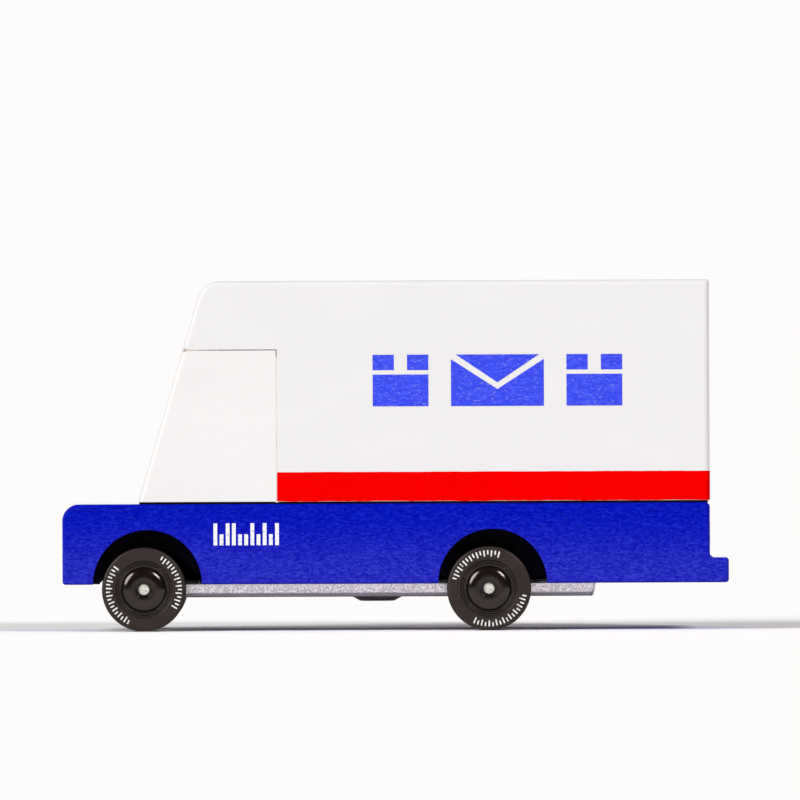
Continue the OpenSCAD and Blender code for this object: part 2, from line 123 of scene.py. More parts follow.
def rounded(corners):
    """An outline from (x, y, radius) corners. A radius of 0 keeps the corner sharp."""
    outline = []
    for index, (x, y, radius) in enumerate(corners):
        corner = Vector((x, y))
        if radius == 0:
            outline.append(corner)
            continue
        before = (Vector(corners[index - 1][:2]) - corner).normalized()
        after = (Vector(corners[(index + 1) % len(corners)][:2]) - corner).normalized()
        half = before.angle(after) / 2
        centre = corner + (before + after).normalized() * radius / math.sin(half)
        spoke = corner + before * radius / math.tan(half) - centre
        sweep = math.pi - 2 * half
        sign = -1 if before.cross(after) > 0 else 1
        steps = max(2, math.ceil(sweep / ARC_STEP))
        for step in range(steps + 1):
            angle = sign * sweep * step / steps
            cos, sin = math.cos(angle), math.sin(angle)
            outline.append(centre + Vector((spoke.x * cos - spoke.y * sin, spoke.x * sin + spoke.y * cos)))
    return outline


def rounded_rect(x0, x1, y0, y1, radius):
    return rounded([(x0, y0, radius), (x1, y0, radius), (x1, y1, radius), (x0, y1, radius)])


print("corner points on a right angle:", len(rounded([(0, 0, 1), (9, 0, 0), (0, 9, 0)])) - 2)


# %% From an outline to a solid
def new_piece(name, mesh):
    """Links a bmesh to the scene as a new object."""
    bmesh.ops.recalc_face_normals(mesh, faces=mesh.faces)
    data = bpy.data.meshes.new(name)
    mesh.to_mesh(data)
    mesh.free()
    piece = bpy.data.objects.new(name, data)
    bpy.context.scene.collection.objects.link(piece)
    return piece


def prism(name, outline, low, high, along="Y"):
    """Pulls an outline out between two levels. Along Y it is drawn in X and Z, and along Z in X and Y."""
    mesh = bmesh.new()
    rings = []
    for level in (low, high):
        if along == "Y":
            rings.append([mesh.verts.new((p.x, level, p.y)) for p in outline])
        else:
            rings.append([mesh.verts.new((p.x, p.y, level)) for p in outline])
    for ring in rings:
        mesh.faces.new(ring)
    for index in range(len(outline)):
        mesh.faces.new((rings[0][index - 1], rings[0][index], rings[1][index], rings[1][index - 1]))
    return new_piece(name, mesh)


def rod(name, centre, radius, half, along="Y", steps=96):
    """A plain cylinder, used as a cutter or joined to something else."""
    turn = Matrix.Rotation(math.pi / 2, 4, "X") if along == "Y" else Matrix.Identity(4)
    mesh = bmesh.new()
    bmesh.ops.create_cone(mesh, cap_ends=True, segments=steps, radius1=radius, radius2=radius, depth=2 * half,
                          matrix=Matrix.Translation(centre) @ turn)
    return new_piece(name, mesh)


def stack(name, x0, x1, half_y, radius, layers):
    """A flat moulding: each layer says how far its round-cornered outline is set in, and its height."""
    mesh = bmesh.new()
    rings = []
    for inset, z in layers:
        plan = rounded_rect(x0 + inset, x1 - inset, inset - half_y, half_y - inset, radius - inset)
        rings.append([mesh.verts.new((p.x, p.y, z)) for p in plan])
    for upper, lower in zip(rings, rings[1:]):
        for index in range(len(upper)):
            mesh.faces.new((upper[index - 1], upper[index], lower[index], lower[index - 1]))
    mesh.faces.new(rings[0])
    mesh.faces.new(rings[-1])
    return new_piece(name, mesh)


# %% [markdown]
# ## Cutting and sanding
#
# A router cuts the wheel arches and the recess, and a sanding belt softens the edges that are left. Here the
# router is a Boolean modifier and the belt is a Bevel modifier. Both are applied at once.

# %% Boolean and bevel helpers
SHARP = math.radians(25)
FLAT = math.radians(0.5)


def settle(piece):
    """Applies the modifiers of a piece."""
    graph = bpy.context.evaluated_depsgraph_get()
    done = bpy.data.meshes.new_from_object(
        piece.evaluated_get(graph), preserve_all_data_layers=True, depsgraph=graph)
    piece.modifiers.clear()
    piece.data = done


def carve(piece, cutters, operation="DIFFERENCE"):
    """Takes the cutters out of a piece, or joins them to it."""
    for cutter in cutters:
        modifier = piece.modifiers.new("carve", "BOOLEAN")
        modifier.operation = operation
        modifier.solver = "EXACT"
        modifier.object = cutter
        settle(piece)
        bpy.data.objects.remove(cutter)


def sand(piece, radius_of, segments=4):
    """Rounds each sharp edge by the radius that radius_of gives for its middle and its direction."""
    mesh = bmesh.new()
    mesh.from_mesh(piece.data)
    bmesh.ops.remove_doubles(mesh, verts=mesh.verts, dist=1e-6)
    bmesh.ops.dissolve_limit(mesh, angle_limit=FLAT, verts=mesh.verts, edges=mesh.edges)
    weight = mesh.edges.layers.float.new("bevel_weight_edge")
    edges = [edge for edge in mesh.edges if edge.calc_face_angle(0) > SHARP]
    ends = [[vertex.co for vertex in edge.verts] for edge in edges]
    radii = [radius_of((a + b) / 2, (b - a).normalized()) for a, b in ends]
    largest = max(radii)
    for edge, radius in zip(edges, radii):
        edge[weight] = radius / largest
    mesh.to_mesh(piece.data)
    mesh.free()
    modifier = piece.modifiers.new("sand", "BEVEL")
    modifier.limit_method = "WEIGHT"
    modifier.width = largest
    modifier.segments = segments
    modifier.harden_normals = True
    modifier.use_clamp_overlap = False
    for polygon in piece.data.polygons:
        polygon.use_smooth = True
    settle(piece)
    print(f"{piece.name}: {len(edges)} edges sanded, {len(piece.data.polygons)} faces")


# %% [markdown]
# ## Shader groups
#
# The finishes share a few effects. Each effect is a node group with named sockets, built once: the grain that
# telegraphs through paint, which also gives the patchy cover of printed ink, and the fine speckle of moulded
# plastic. A group hands out masks and heights only. The shader itself stays in each material.


# %% Helpers for node trees
def add_node(tree, kind, **settings):
    """Adds a node. Settings whose names are sockets fill the sockets, and the rest are properties."""
    node = tree.nodes.new(kind)
    for name, value in settings.items():
        setattr(node, name, value)
    return node


def new_group(name, inputs, outputs):
    """An empty group with float inputs and outputs, and a vector input called Place."""
    tree = bpy.data.node_groups.new(name, "ShaderNodeTree")
    tree.interface.new_socket("Place", in_out="INPUT", socket_type="NodeSocketVector")
    for label, value in inputs.items():
        tree.interface.new_socket(label, in_out="INPUT", socket_type="NodeSocketFloat").default_value = value
    for label in outputs:
        tree.interface.new_socket(label, in_out="OUTPUT", socket_type="NodeSocketFloat")
    return tree, tree.nodes.new("NodeGroupInput"), tree.nodes.new("NodeGroupOutput")


def math_node(tree, operation, first, second, clamp=False):
    """A Math node whose operands are sockets or plain numbers."""
    node = add_node(tree, "ShaderNodeMath", operation=operation, use_clamp=clamp)
    for socket, value in zip(node.inputs, (first, second)):
        if isinstance(value, bpy.types.NodeSocket):
            tree.links.new(value, socket)
        else:
            socket.default_value = value
    return node.outputs[0]


def noise(tree, place, scale, detail, roughness, distortion=0.0):
    """A noise texture. Scale may be a socket."""
    node = add_node(tree, "ShaderNodeTexNoise")
    tree.links.new(place, node.inputs["Vector"])
    if isinstance(scale, bpy.types.NodeSocket):
        tree.links.new(scale, node.inputs["Scale"])
    else:
        node.inputs["Scale"].default_value = scale
    node.inputs["Detail"].default_value = detail
    node.inputs["Roughness"].default_value = roughness
    node.inputs["Distortion"].default_value = distortion
    return node.outputs["Fac"]


def between(tree, value, low, high):
    """Stretches a value so that low becomes 0 and high becomes 1, with soft ends."""
    node = add_node(tree, "ShaderNodeMapRange", interpolation_type="SMOOTHSTEP")
    tree.links.new(value, node.inputs["Value"])
    node.inputs["From Min"].default_value = low
    node.inputs["From Max"].default_value = high
    return node.outputs["Result"]


def stretched(tree, place, x, y, z):
    """Place scaled by its own factor on each axis."""
    node = add_node(tree, "ShaderNodeVectorMath", operation="MULTIPLY")
    tree.links.new(place, node.inputs[0])
    node.inputs[1].default_value = (x, y, z)
    return node.outputs[0]


# %% [markdown]
# ### Grain under paint
#
# The wood is fine-grained, and one thin coat of paint doesn't hide it: short pores run along the truck and
# show as darker flecks and small dents. Noise that is squeezed along X gives them, and because it is solid
# noise the ends of the blocks show dots instead of dashes, as end grain does.

# %% The grain group
PORE_LENGTH = 0.25 * MM
PORE_WIDTH = 0.115 * MM
STREAK_LENGTH = 0.5 * MM
STREAK_WIDTH = 0.2 * MM


def grain_group():
    tree, source, sink = new_group("grain_under_paint", {"Pores": 0.5}, ["Fleck", "Glint", "Height", "Cloud"])
    place = source.outputs["Place"]
    lengthways = stretched(tree, place, 1 / PORE_LENGTH, 1 / PORE_WIDTH, 1 / PORE_WIDTH)
    pores = noise(tree, lengthways, 0.5, 2.0, 0.55, 0.6)
    streaks = stretched(tree, place, 1 / STREAK_LENGTH, 1 / STREAK_WIDTH, 1 / STREAK_WIDTH)
    strokes = noise(tree, streaks, 0.5, 2.0, 0.55, 0.3)
    cloud = noise(tree, stretched(tree, place, 60, 110, 110), 1.0, 3.0, 0.55)
    dents = math_node(tree, "MULTIPLY", between(tree, pores, 0.44, 0.66), source.outputs["Pores"])
    glints = math_node(tree, "MULTIPLY", between(tree, strokes, 0.42, 0.66), source.outputs["Pores"])
    tree.links.new(math_node(tree, "SUBTRACT", 1.0, dents, clamp=True), sink.inputs["Fleck"])
    tree.links.new(glints, sink.inputs["Glint"])
    tree.links.new(math_node(tree, "SUBTRACT", glints, dents), sink.inputs["Height"])
    tree.links.new(between(tree, cloud, 0.3, 0.7), sink.inputs["Cloud"])
    return tree


GRAIN = grain_group()
print("group:", GRAIN.name, [socket.name for socket in GRAIN.interface.items_tree])

# %% [markdown]
# ### Speckle of moulded and cast surfaces
#
# A steel mould is spark-eroded, so plastic and rubber come out with a fine even tooth. On the silver plate it
# is coarse and bright, and on the tyres it is barely there.


# %% The speckle group
def speckle_group():
    tree, source, sink = new_group("moulded_speckle", {"Scale": 3000.0}, ["Speckle", "Height", "Cloud"])
    place = source.outputs["Place"]
    grit = noise(tree, place, source.outputs["Scale"], 3.0, 0.7)
    broad = noise(tree, place, math_node(tree, "MULTIPLY", source.outputs["Scale"], 0.08), 2.0, 0.5)
    tree.links.new(between(tree, grit, 0.36, 0.66), sink.inputs["Speckle"])
    tree.links.new(grit, sink.inputs["Height"])
    tree.links.new(between(tree, broad, 0.3, 0.7), sink.inputs["Cloud"])
    return tree


SPECKLE = speckle_group()
print("group:", SPECKLE.name, [socket.name for socket in SPECKLE.interface.items_tree])


# %% [markdown]
# ## Materials
#
# Every finish is a Principled BSDF. What is the same all over, such as a paint's sheen, is set on its own
# socket. What varies comes from a group: a mask mixes two close colours, and a height feeds a Bump node.

# %% A material with a group in it
def start_material(name, group, **group_values):
    """A material whose group reads object coordinates: gives it, its tree, shader and group node."""
    material = bpy.data.materials.new(name)
    material.use_nodes = True
    tree = material.node_tree
    shader = tree.nodes["Principled BSDF"]
    place = add_node(tree, "ShaderNodeTexCoord")
    effect = add_node(tree, "ShaderNodeGroup", node_tree=group)
    tree.links.new(place.outputs["Object"], effect.inputs["Place"])
    for label, value in group_values.items():
        effect.inputs[label].default_value = value
    return material, tree, shader, effect


def mix_colours(tree, mask, first, second):
    """A Mix node between two colours, which may be sockets."""
    node = add_node(tree, "ShaderNodeMix", data_type="RGBA")
    tree.links.new(mask, node.inputs["Factor"])
    for socket, value in zip((node.inputs[6], node.inputs[7]), (first, second)):
        if isinstance(value, bpy.types.NodeSocket):
            tree.links.new(value, socket)
        else:
            socket.default_value = (*value, 1)
    return node.outputs[2]


def bump(tree, shader, height, depth):
    """Raises the surface by a height, to a depth in metres."""
    node = add_node(tree, "ShaderNodeBump")
    node.inputs["Strength"].default_value = 1.0
    node.inputs["Distance"].default_value = depth
    tree.links.new(height, node.inputs["Height"])
    tree.links.new(node.outputs["Normal"], shader.inputs["Normal"])


def roughness_between(tree, shader, mask, low, high):
    """Lets a mask move the roughness between two values."""
    node = add_node(tree, "ShaderNodeMapRange")
    tree.links.new(mask, node.inputs["Value"])
    node.inputs["To Min"].default_value = low
    node.inputs["To Max"].default_value = high
    tree.links.new(node.outputs["Result"], shader.inputs["Roughness"])


# %% Painted wood
CLOUD = 0.01
def paint_layers(tree, grain, colour, fleck, painted_glint):
    """One colour of paint over the grain: darker in the pores, and paler on the ridges between them, where a
    glint of light is painted in.
    """
    darker, lighter = ([c * (1 + share) for c in colour] for share in (-CLOUD, CLOUD))
    clouded = mix_colours(tree, grain.outputs["Cloud"], darker, lighter)
    # Painted highlight: the ridges get a paler colour, a glint of light painted on.
    with_painted_glint = mix_colours(tree, grain.outputs["Glint"], clouded, painted_glint)
    return mix_colours(tree, grain.outputs["Fleck"], fleck, with_painted_glint)


def painted_wood(name, colour, fleck, painted_glint, pores=0.5, depth=0.02 * MM, specular=0.25, rough=(0.42, 0.55)):
    material, tree, shader, grain = start_material(name, GRAIN, Pores=pores)
    tree.links.new(paint_layers(tree, grain, colour, fleck, painted_glint), shader.inputs["Base Color"])
    roughness_between(tree, shader, grain.outputs["Cloud"], *rough)
    shader.inputs["Specular IOR Level"].default_value = specular
    bump(tree, shader, grain.outputs["Height"], depth)
    return material, tree, shader, grain


# %% The blue paint
FLAT_TOP = (0.85, 0.99)
POOLED_ROUGH = 0.04
# Painted shade: the routed arches are darkened to nearly black, fading out over a tenth of a millimetre at
# their edge.
ARCH_PAINTED_SHADE = (0.0005, 0.0005, 0.006)
ARCH_SHADE_FADE = 0.1 * MM


def mix_over(tree, shader, mask, colour):
    """Lays a second colour over what the shader already has, where the mask is 1."""
    below = shader.inputs["Base Color"].links[0].from_socket
    tree.links.new(mix_colours(tree, mask, below, colour), shader.inputs["Base Color"])


def away_from(tree, place, x, z):
    """The distance from a line along Y, measured in the side view."""
    shifted = add_node(tree, "ShaderNodeVectorMath", operation="SUBTRACT")
    tree.links.new(place, shifted.inputs[0])
    shifted.inputs[1].default_value = (x, 0, z)
    flattened = add_node(tree, "ShaderNodeVectorMath", operation="MULTIPLY")
    tree.links.new(shifted.outputs["Vector"], flattened.inputs[0])
    flattened.inputs[1].default_value = (1, 0, 1)
    length = add_node(tree, "ShaderNodeVectorMath", operation="LENGTH")
    tree.links.new(flattened.outputs["Vector"], length.inputs[0])
    return length.outputs["Value"]


def blue_body_paint():
    """Blue that is paler low down and deeper towards the top, a painted reflection of the bright floor, and
    nearly black in the routed arches, where shade is painted in.

    On the flat tops the paint pooled, and there it dried to a smooth gloss.
    """
    material, tree, shader, grain = painted_wood(
        "blue_paint", (0.0135, 0.0170, 0.362), (0.0040, 0.0062, 0.296), (0.0270, 0.0315, 0.415), pores=1.0,
        specular=0.04, rough=(0.20, 0.28))
    place = add_node(tree, "ShaderNodeTexCoord").outputs["Object"]
    split = add_node(tree, "ShaderNodeSeparateXYZ")
    tree.links.new(place, split.inputs[0])
    wander = math_node(tree, "MULTIPLY", noise(tree, place, 90, 2.0, 0.5), 2 * MM)
    # Painted reflection: lower down the blue is paler, as the floor's light would make it, and deeper towards
    # the deck.
    painted_sheen_fade = between(tree, math_node(tree, "ADD", split.outputs["Z"], wander), under_z + MM, deck_z)
    blue_without_floor_sheen = paint_layers(tree, grain, (0.0001, 0.0050, 0.342), (0.0001, 0.0010, 0.270),
                        (0.0040, 0.0125, 0.400))
    mix_over(tree, shader, painted_sheen_fade, blue_without_floor_sheen)
    facing = add_node(tree, "ShaderNodeSeparateXYZ")
    tree.links.new(add_node(tree, "ShaderNodeTexCoord").outputs["Normal"], facing.inputs[0])
    tree.links.new(between(tree, facing.outputs["Z"], *FLAT_TOP), shader.inputs["Coat Weight"])
    shader.inputs["Coat Roughness"].default_value = POOLED_ROUGH
    # Painted shade: inside each arch's radius the blue is mixed to nearly black.
    for x in arch_xs:
        inside = math_node(tree, "SUBTRACT", 1.0, between(tree, away_from(tree, place, x, under_z), arch_r,
                                                          arch_r + ARCH_SHADE_FADE), clamp=True)
        mix_over(tree, shader, inside, ARCH_PAINTED_SHADE)
    return material


# %% The other paints
WHITE_PAINT = painted_wood("white_paint", (0.603, 0.589, 0.593), (0.593, 0.579, 0.583), (0.608, 0.594, 0.598),
                           pores=0.15, depth=0.002 * MM)[0]
CREAM_PAINT = painted_wood("cream_paint", (0.623, 0.612, 0.603), (0.611, 0.600, 0.591), (0.629, 0.618, 0.609),
                           pores=0.15, depth=0.002 * MM)[0]
RED_PAINT = painted_wood("red_paint", (0.648, 0.0002, 0.0002),
                         (0.610, 0.0002, 0.0002), (0.668, 0.0003, 0.0003),
                         pores=0.3, depth=0.003 * MM, specular=0.0)[0]
print("paints:", [m.name for m in (WHITE_PAINT, CREAM_PAINT, RED_PAINT)])


# %% Printed ink
def printed_ink(name, ink, thin, under, holes=0.12):
    """Ink that runs thinner along the strokes and misses the deepest pores, where the paint shows."""
    material, tree, shader, grain = start_material(name, GRAIN, Pores=1.0)
    streaked = mix_colours(tree, grain.outputs["Glint"], ink, thin)
    cover = between(tree, grain.outputs["Fleck"], 0.0, holes)
    tree.links.new(mix_colours(tree, cover, under, streaked), shader.inputs["Base Color"])
    roughness_between(tree, shader, grain.outputs["Cloud"], 0.5, 0.62)
    shader.inputs["Specular IOR Level"].default_value = 0.08
    bump(tree, shader, grain.outputs["Height"], 0.006 * MM)
    return material


BLUE_INK = printed_ink("blue_ink", (0.027, 0.046, 0.585), (0.046, 0.070, 0.660), (0.11, 0.14, 0.60))
WHITE_INK = printed_ink("white_ink", (0.68, 0.68, 0.70), (0.62, 0.62, 0.66), (0.32, 0.34, 0.60))
TYRE_INK = printed_ink("tyre_ink", (0.68, 0.68, 0.68), (0.60, 0.59, 0.59), (0.32, 0.31, 0.31))
RED_INK = printed_ink("red_ink", (0.42, 0.005, 0.005), (0.50, 0.008, 0.008), (0.22, 0.01, 0.06))


# %% Moulded plastic, rubber and metal
def moulded(name, dark, light, scale, rough, depth, specular=0.5, metallic=0.0, coat=0.0, tint=(1, 1, 1)):
    """A moulded or cast surface with two close colours mixed by the speckle."""
    material, tree, shader, speckle = start_material(name, SPECKLE, Scale=scale)
    tree.links.new(mix_colours(tree, speckle.outputs["Speckle"], dark, light), shader.inputs["Base Color"])
    roughness_between(tree, shader, speckle.outputs["Cloud"], *rough)
    shader.inputs["Specular IOR Level"].default_value = specular
    shader.inputs["Specular Tint"].default_value = (*tint, 1)
    shader.inputs["Metallic"].default_value = metallic
    shader.inputs["Coat Weight"].default_value = coat
    shader.inputs["Coat Roughness"].default_value = 0.06
    bump(tree, shader, speckle.outputs["Height"], depth)
    return material


def silver_plate(flange_z):
    """Bright cast metal on the flange's side, and on the panel below it a dull dark grey, which is painted
    shade under the flange.
    """
    material = moulded("silver_plate", (0.50, 0.45, 0.48), (1.0, 0.97, 0.98), 3400, (0.26, 0.38), 0.03 * MM,
                       metallic=0.9)
    tree = material.node_tree
    shader = tree.nodes["Principled BSDF"]
    split = add_node(tree, "ShaderNodeSeparateXYZ")
    tree.links.new(add_node(tree, "ShaderNodeTexCoord").outputs["Object"], split.inputs[0])
    # Painted shade: below the flange the plate turns dark grey.
    below = math_node(tree, "SUBTRACT", 1.0, between(tree, split.outputs["Z"], flange_z - 0.12 * MM,
                                                     flange_z - 0.04 * MM), clamp=True)
    bright = shader.inputs["Base Color"].links[0].from_socket
    place = add_node(tree, "ShaderNodeTexCoord").outputs["Object"]
    painted_panel_shade = mix_colours(tree, noise(tree, place, 3400, 2.0, 0.6),
                       (0.16, 0.15, 0.17), (0.34, 0.32, 0.35))
    tree.links.new(mix_colours(tree, below, bright, painted_panel_shade), shader.inputs["Base Color"])
    return material


WARM_SHEEN = (1.0, 0.84, 0.78)
TYRE_RUBBER = moulded("tyre_rubber", (0.0125, 0.0085, 0.0078), (0.0195, 0.0140, 0.0130), 3600, (0.42, 0.52),
                      0.005 * MM, specular=0.3, tint=WARM_SHEEN)
HUB_BLACK = moulded("hub_black", (0.0050, 0.0030, 0.0026), (0.0072, 0.0046, 0.0040), 900, (0.12, 0.18),
                    0.0010 * MM, specular=0.45, coat=0.15, tint=WARM_SHEEN)
AXLE_STEEL = moulded("axle_steel", (0.40, 0.38, 0.34), (0.80, 0.77, 0.70), 3200, (0.34, 0.46), 0.014 * MM,
                     metallic=0.25)
SCREW_STEEL = moulded("screw_steel", (0.42, 0.42, 0.44), (0.58, 0.58, 0.60), 2200, (0.26, 0.36), 0.004 * MM,
                      metallic=1.0)
NYLON = moulded("nylon", (0.66, 0.63, 0.54), (0.74, 0.71, 0.62), 1800, (0.42, 0.52), 0.006 * MM)
print("moulded finishes ready")


# %% Bare beech
def bare_beech():
    """Unpainted wood, for the dowels and for the sanded edge along the glue line."""
    material, tree, shader, grain = start_material("bare_beech", GRAIN, Pores=0.9)
    board = mix_colours(tree, grain.outputs["Cloud"], (0.36, 0.15, 0.06), (0.52, 0.27, 0.13))
    mixed = mix_colours(tree, grain.outputs["Fleck"], (0.22, 0.08, 0.03), board)
    tree.links.new(mixed, shader.inputs["Base Color"])
    roughness_between(tree, shader, grain.outputs["Cloud"], 0.6, 0.75)
    shader.inputs["Specular IOR Level"].default_value = 0.2
    bump(tree, shader, grain.outputs["Height"], 0.015 * MM)
    return material


BARE_BEECH = bare_beech()


# %% [markdown]
# ## Placing a finished piece
#
# A piece that takes a frame node's place says so and names the body it rides on. Glue is no part
# of the frame. A frame node whose shape is right only needs its material.

# %% Placing helpers
def place_piece(piece, material, slot, body, *replaced):
    piece.data.materials.clear()
    piece.data.materials.append(material)
    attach(piece, body)
    if replaced:
        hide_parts(*replaced)


def dress_node(name, material):
    nodes[name].data.materials.clear()
    nodes[name].data.materials.append(material)


# %% [markdown]
# ## The lower body
#
# One blue block: a bonnet with a round front edge, a small step at the tail and four wheel arches. The side
# outline is pulled out to the truck's width, the arches and the plate recess are routed out, the edges are
# sanded, and holes are drilled for the screws and dowels. The bonnet's big radius is part of the outline.

# %% The lower body's outline
BONNET_R = 2.7 * MM
TAIL_R = 0.8 * MM
EDGE_R = 0.5 * MM
CORNER_R = 0.8 * MM
STEP_FILLET = 0.7 * MM

lower_body = prism("lower_body_wood", rounded([
    (nose_x, under_z, 0), (step_x, under_z, 0), (step_x, step_z, 0), (rear_x, step_z, STEP_FILLET),
    (rear_x, deck_z, TAIL_R), (nose_x, deck_z, BONNET_R),
]), -side_y, side_y)

# %% The arches, the recess and the holes
ARCH_CLEAR = 1.92 * MM
ARCH_SHIFT = 0.58 * MM
ARCH_GAP = 1 * MM
ARCH_RIM_R = 0.22 * MM
RECESS_CLEAR = 0.35 * MM
RECESS_AHEAD = 3 * MM
RECESS_R = 1.95 * MM
PILOT_R = 1.1 * MM
HOLE_SPARE = 0.5 * MM
tyre_low, tyre_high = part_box("front_right_tyre")
wheel_r = (tyre_high.z - tyre_low.z) / 2
arch_r = wheel_r + ARCH_CLEAR
core_y = tyre_low.y - ARCH_GAP
arch_xs = [place.x + ARCH_SHIFT for place in axle_places]

screw_low, screw_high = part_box("plate_screws")
SCREW_HEAD_R = (screw_high.y - screw_low.y) / 2
screw_xs = [screw_low.x + SCREW_HEAD_R, screw_high.x - SCREW_HEAD_R]


def dowel_holes(node, along, low_z, high_z):
    """Cutters for a pair of dowels: where the node's box ends along X or Y is where each dowel ends."""
    low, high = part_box(node)
    across = 1 - along
    radius = (high[across] - low[across]) / 2
    cutters = []
    for end in (low[along] + radius, high[along] - radius):
        centre = [(low.x + high.x) / 2, (low.y + high.y) / 2, (low_z + high_z) / 2]
        centre[along] = end
        cutters.append(rod("hole", Vector(centre), radius, (high_z - low_z) / 2, along="Z", steps=48))
    return cutters


def holes_below(node, along):
    return dowel_holes(node, along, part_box(node)[0].z - HOLE_SPARE, deck_z + MM)


def holes_above(node, along):
    return dowel_holes(node, along, deck_z - MM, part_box(node)[1].z + HOLE_SPARE)


arches = [rod("arch", Vector((x, side * (core_y + side_y), under_z)), arch_r, side_y)
          for x in arch_xs for side in (LEFT, RIGHT)]
recess = prism("recess", rounded_rect(plate_low.x - RECESS_AHEAD, plate_high.x + RECESS_CLEAR,
                                      plate_low.y - RECESS_CLEAR, plate_high.y + RECESS_CLEAR, RECESS_R),
               under_z - 2 * MM, recess_z, along="Z")
pilots = [rod("pilot", Vector((x, 0, (under_z + screw_high.z) / 2)), PILOT_R,
              (screw_high.z - under_z) / 2 + HOLE_SPARE, along="Z", steps=48) for x in screw_xs]
carve(lower_body, arches + [recess])
print("lower body:", len(lower_body.data.vertices), "vertices before sanding")


# %% Sanding the lower body
HIDDEN_R = 0.12 * MM


def body_edge_radius(middle, along):
    """Edges that were routed stay crisp, and all round the two sides the edges share one softer radius."""
    from_arch = min((middle.xz - Vector((x, under_z))).length for x in arch_xs)
    in_recess = (middle.z < recess_z + 0.1 * MM and abs(middle.y) < plate_high.y + RECESS_CLEAR + 0.1 * MM
                 and plate_low.x - RECESS_AHEAD < middle.x + 0.1 * MM
                 and middle.x - 0.1 * MM < plate_high.x + RECESS_CLEAR)
    if abs(middle.y) < side_y - 0.1 * MM and (from_arch < arch_r + 0.05 * MM or in_recess):
        return HIDDEN_R
    if from_arch < arch_r + 0.05 * MM:
        return ARCH_RIM_R
    return EDGE_R


sand(lower_body, body_edge_radius)
carve(lower_body, pilots + holes_below("cargo_dowels", 0) + holes_below("cab_dowels", 1))
place_piece(lower_body, blue_body_paint(), "blue_paint", "truck", "lower_body")

# %% [markdown]
# ## The cargo box
#
# A white block that stands behind the cab and reaches forward over it as a roof. The brow has a large radius
# and the edges round the sides a smaller one. Both blocks stand on a thin near-black bed that is set back
# from their sides; it is painted shade, and it draws the fine black line of shadow along the deck.

# %% The cargo box
BROW_R = 3.65 * MM
JOIN_R = 0.08 * MM
NOTCH_R = 0.05 * MM
BED_T = 0.30 * MM
foot_z = deck_z + BED_T

cargo_box = prism("cargo_box_wood", rounded([
    (seam_x, foot_z, 0), (rear_x, foot_z, 0), (rear_x, roof_z, 0), (screen_x(roof_z), roof_z, BROW_R),
    (screen_x(cab_top_z), cab_top_z, 0), (seam_x, cab_top_z, 0),
]), -side_y, side_y)


def cargo_edge_radius(middle, along):
    if middle.z < foot_z + 0.05 * MM:
        return JOIN_R
    if middle.z < cab_top_z + 0.1 * MM and middle.x < seam_x + 0.1 * MM:
        return NOTCH_R
    return EDGE_R if abs(along.y) > 0.9 else CORNER_R


sand(cargo_box, cargo_edge_radius)
carve(cargo_box, holes_above("cargo_dowels", 0))
place_piece(cargo_box, WHITE_PAINT, "white_paint", "truck", "cargo_box")

# %% [markdown]
# ## The cab block
#
# A warmer white block with a leaning front. Its top and its back meet the cargo box along a glue line, where
# the paint is worn off the edge and the wood shows. That brown line is a real piece here: a strip of bare wood
# and dried glue that fills the gap and stops just short of the surface.

# %% The cab block
cab_block = prism("cab_block_wood", rounded([
    (screen_x(foot_z), foot_z, 0), (cab_high.x, foot_z, 0), (cab_high.x, cab_high.z, 0),
    (screen_x(cab_high.z), cab_high.z, 0),
]), -side_y, side_y)


def cab_edge_radius(middle, along):
    if middle.z < foot_z + 0.05 * MM:
        return JOIN_R
    if middle.z > cab_high.z - 0.1 * MM or middle.x > cab_high.x - 0.1 * MM:
        return NOTCH_R
    return CORNER_R


sand(cab_block, cab_edge_radius)
carve(cab_block, holes_above("cab_dowels", 1))
place_piece(cab_block, CREAM_PAINT, "cream_paint", "truck", "cab_block")


# %% The worn edge along the glue line
def worn_edge():
    """Brown wood that shows most along the top joint towards the back, and hardly elsewhere."""
    material, tree, shader, grain = start_material("worn_edge", GRAIN, Pores=0.9)
    place = add_node(tree, "ShaderNodeTexCoord")
    split = add_node(tree, "ShaderNodeSeparateXYZ")
    tree.links.new(place.outputs["Object"], split.inputs[0])
    back = between(tree, split.outputs["X"], screen_x(cab_top_z), seam_x)
    top = between(tree, split.outputs["Z"], cab_top_z - 1.5 * MM, cab_top_z - 0.5 * MM)
    patches = noise(tree, place.outputs["Object"], 420, 3.0, 0.6)
    towards_back = math_node(tree, "ADD", math_node(tree, "MULTIPLY", back, 0.75), 0.30)
    wear = math_node(tree, "MULTIPLY", towards_back, top)
    bare = between(tree, math_node(tree, "ADD", wear, patches), 0.55, 1.05)
    covered = mix_colours(tree, grain.outputs["Cloud"], (0.50, 0.44, 0.38), (0.60, 0.56, 0.52))
    wood = mix_colours(tree, grain.outputs["Fleck"], (0.030, 0.006, 0.003), (0.105, 0.026, 0.013))
    tree.links.new(mix_colours(tree, bare, covered, wood), shader.inputs["Base Color"])
    roughness_between(tree, shader, grain.outputs["Cloud"], 0.6, 0.75)
    shader.inputs["Specular IOR Level"].default_value = 0.1
    bump(tree, shader, grain.outputs["Height"], 0.01 * MM)
    return material


GLUE_SET_BACK = 0.03 * MM
GLUE_BITE = 0.2 * MM
glue_line = prism("glue_line", rounded([
    (cab_high.x - GLUE_BITE, deck_z + GLUE_BITE, 0), (seam_x + GLUE_BITE, deck_z + GLUE_BITE, 0),
    (seam_x + GLUE_BITE, cab_top_z + GLUE_BITE, 0),
    (screen_x(cab_top_z) + GLUE_BITE, cab_top_z + GLUE_BITE, 0),
    (screen_x(cab_top_z) + GLUE_BITE, cab_high.z - GLUE_BITE, 0),
    (cab_high.x - GLUE_BITE, cab_high.z - GLUE_BITE, 0),
]), -side_y + GLUE_SET_BACK, side_y - GLUE_SET_BACK)
place_piece(glue_line, worn_edge(), "bare_beech", "truck")
